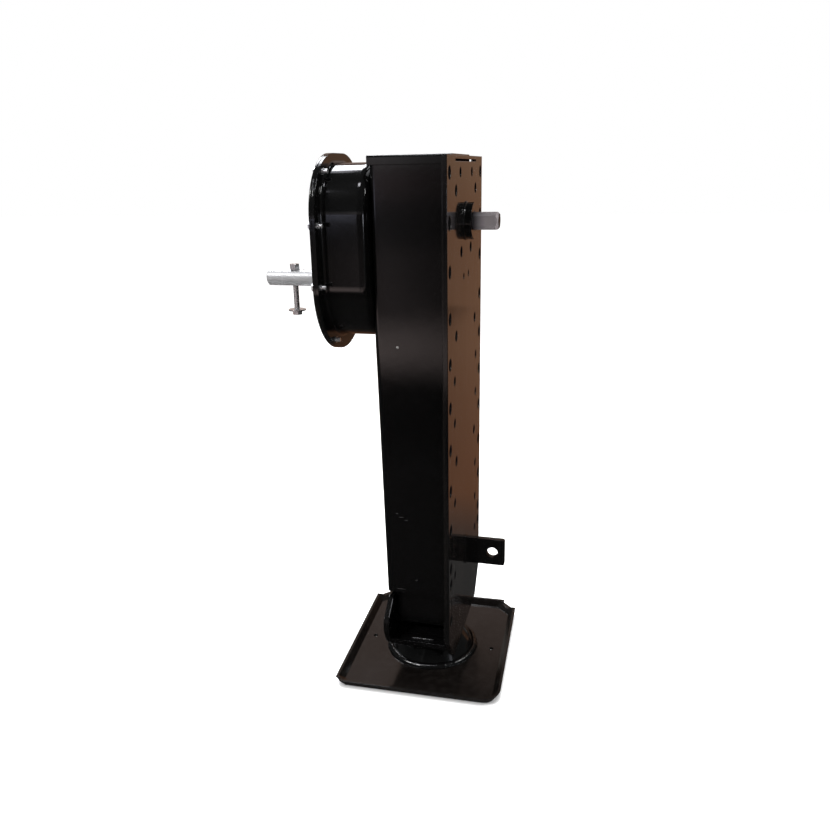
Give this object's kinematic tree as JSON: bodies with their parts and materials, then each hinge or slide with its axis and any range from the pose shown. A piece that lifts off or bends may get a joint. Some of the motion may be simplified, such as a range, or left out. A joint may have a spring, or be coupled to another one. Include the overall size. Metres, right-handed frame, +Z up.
{
  "type": "trailer landing leg",
  "caption": "Crank-driven screw jack leg on a tall drilled mounting plate, with side gear case, crank shaft, square drive stub and a tilting, swivelling square foot pan.",
  "frame": {"origin": "on the floor under the foot, on the axis of the screw", "axes": "+Z up along the screw, +X inboard out of the mounting plate's face, the crank shaft points to -X"},
  "size_m": [0.3729, 0.2817, 0.776],
  "materials": {
    "mounting_plate": "gloss black paint",
    "outer_tube": "gloss black paint",
    "top_cover": "gloss black paint",
    "brace_tab": "gloss black paint",
    "gear_case": "gloss black paint",
    "gear_cover": "gloss black paint",
    "cover_bolts": "bright zinc plated",
    "cover_nuts": "bright zinc plated",
    "crank_cover_bush": "plain bearing bronze",
    "crank_wall_bush": "plain bearing bronze",
    "crank_seal": "matt",
    "output_wall_bush": "plain bearing bronze",
    "output_cover_bush": "plain bearing bronze",
    "output_hub_bush": "plain bearing bronze",
    "output_hub": "gloss black paint",
    "output_end_cap": "gloss black paint",
    "bearing_plate": "machined, oiled",
    "spindle_bush": "plain bearing bronze",
    "thrust_race_upper": "machined, oiled",
    "thrust_balls": "polished bearing steel",
    "guide_pads": "natural polyamide",
    "fast_gear": "hardened, greased",
    "low_pinion": "hardened, greased",
    "crank_shaft": "bright zinc plated",
    "drive_pin": "machined, oiled",
    "crank_circlip": "machined, oiled",
    "cross_bolt": "bright zinc plated",
    "cross_washer": "bright zinc plated",
    "cross_nut": "bright zinc plated",
    "output_shaft": "gloss black paint",
    "output_circlip": "machined, oiled",
    "fast_wheel": "hardened, greased",
    "low_wheel": "hardened, greased",
    "wheel_spacer": "machined, oiled",
    "bevel_pinion": "hardened, greased",
    "spindle": "machined, oiled",
    "spindle_lock_nut": "bright zinc plated",
    "bevel_wheel": "hardened, greased",
    "thrust_race_lower": "machined, oiled",
    "spindle_stop": "machined, oiled",
    "lower_tube": "gloss black paint",
    "axle_tube": "machined, oiled",
    "nut_plate": "machined, oiled",
    "spindle_nut": "plain bearing bronze",
    "foot_saddle": "gloss black paint",
    "foot_axle": "gloss black paint",
    "foot_pan": "gloss black paint",
    "foot_dome": "gloss black paint",
    "swivel_washer": "machined, oiled",
    "king_bolt": "gloss black paint",
    "king_washer": "gloss black paint",
    "king_nut": "bright zinc plated"
  },
  "bodies": {
    "upper_leg": {"mounting_plate": "mounting_plate", "outer_tube": "outer_tube", "top_cover": "top_cover", "brace_tab": "brace_tab", "gear_case": "gear_case", "gear_cover": "gear_cover", "cover_bolts": "cover_bolts", "cover_nuts": "cover_nuts", "crank_cover_bush": "crank_cover_bush", "crank_wall_bush": "crank_wall_bush", "crank_seal": "crank_seal", "output_wall_bush": "output_wall_bush", "output_cover_bush": "output_cover_bush", "output_hub_bush": "output_hub_bush", "output_hub": "output_hub", "output_end_cap": "output_end_cap", "bearing_plate": "bearing_plate", "spindle_bush": "spindle_bush", "thrust_race_upper": "thrust_race_upper", "thrust_balls": "thrust_balls", "guide_pads": "guide_pads"},
    "crank_gear": {"fast_gear": "fast_gear"},
    "low_pinion": {"low_pinion": "low_pinion"},
    "crank_shaft": {"crank_shaft": "crank_shaft", "drive_pin": "drive_pin", "crank_circlip": "crank_circlip"},
    "cross_bolt": {"cross_bolt": "cross_bolt", "cross_washer": "cross_washer", "cross_nut": "cross_nut"},
    "output": {"output_shaft": "output_shaft", "output_circlip": "output_circlip", "fast_wheel": "fast_wheel", "low_wheel": "low_wheel", "wheel_spacer": "wheel_spacer", "bevel_pinion": "bevel_pinion"},
    "spindle": {"spindle": "spindle", "spindle_lock_nut": "spindle_lock_nut", "bevel_wheel": "bevel_wheel", "thrust_race_lower": "thrust_race_lower", "spindle_stop": "spindle_stop"},
    "lower_leg": {"lower_tube": "lower_tube", "axle_tube": "axle_tube", "nut_plate": "nut_plate", "spindle_nut": "spindle_nut"},
    "saddle": {"foot_saddle": "foot_saddle", "foot_axle": "foot_axle"},
    "foot": {"foot_pan": "foot_pan", "foot_dome": "foot_dome", "swivel_washer": "swivel_washer", "king_bolt": "king_bolt", "king_washer": "king_washer", "king_nut": "king_nut"}
  },
  "joints": [
    {"name": "crank_spin", "type": "hinge", "parent": "upper_leg", "child": "crank_gear", "pos_m": [0, 0, 0.603], "axis": [1, 0, 0], "range_deg": [0, 19100]},
    {"name": "crank_shift", "type": "slide", "parent": "crank_gear", "child": "crank_shaft", "axis": [-1, 0, 0], "range_m": [0, 0.0069]},
    {"name": "cross_bolt_slide", "type": "slide", "parent": "crank_shaft", "child": "cross_bolt", "axis": [0, 0, 1], "range_m": [0, 0.0345]},
    {"name": "low_pinion_spin", "type": "hinge", "parent": "upper_leg", "child": "low_pinion", "pos_m": [0, 0, 0.603], "axis": [1, 0, 0], "range_deg": [0, 83570]},
    {"name": "output_spin", "type": "hinge", "parent": "upper_leg", "child": "output", "pos_m": [0, 0, 0.684], "axis": [1, 0, 0], "range_deg": [-23880, 0]},
    {"name": "spindle_spin", "type": "hinge", "parent": "upper_leg", "child": "spindle", "pos_m": [0, 0, 0.3], "axis": [0, 0, 1], "range_deg": [0, 11940]},
    {"name": "leg_extend", "type": "slide", "parent": "upper_leg", "child": "lower_leg", "axis": [0, 0, -1], "range_m": [0, 0.398]},
    {"name": "foot_tilt", "type": "hinge", "parent": "lower_leg", "child": "saddle", "pos_m": [0, 0, 0.098], "axis": [1, 0, 0], "range_deg": [-8, 8]},
    {"name": "foot_swivel", "type": "hinge", "parent": "saddle", "child": "foot", "pos_m": [0.004, 0, 0.048], "axis": [0, 0, 1], "continuous": true}
  ],
  "couplings": [
    {"joint": "low_pinion_spin", "follows": "crank_spin", "ratio": 4.375},
    {"joint": "output_spin", "follows": "crank_spin", "ratio": -1.25},
    {"joint": "spindle_spin", "follows": "crank_spin", "ratio": 0.625},
    {"joint": "leg_extend", "follows": "crank_spin", "m_per_rad": 0.0011937}
  ]
}
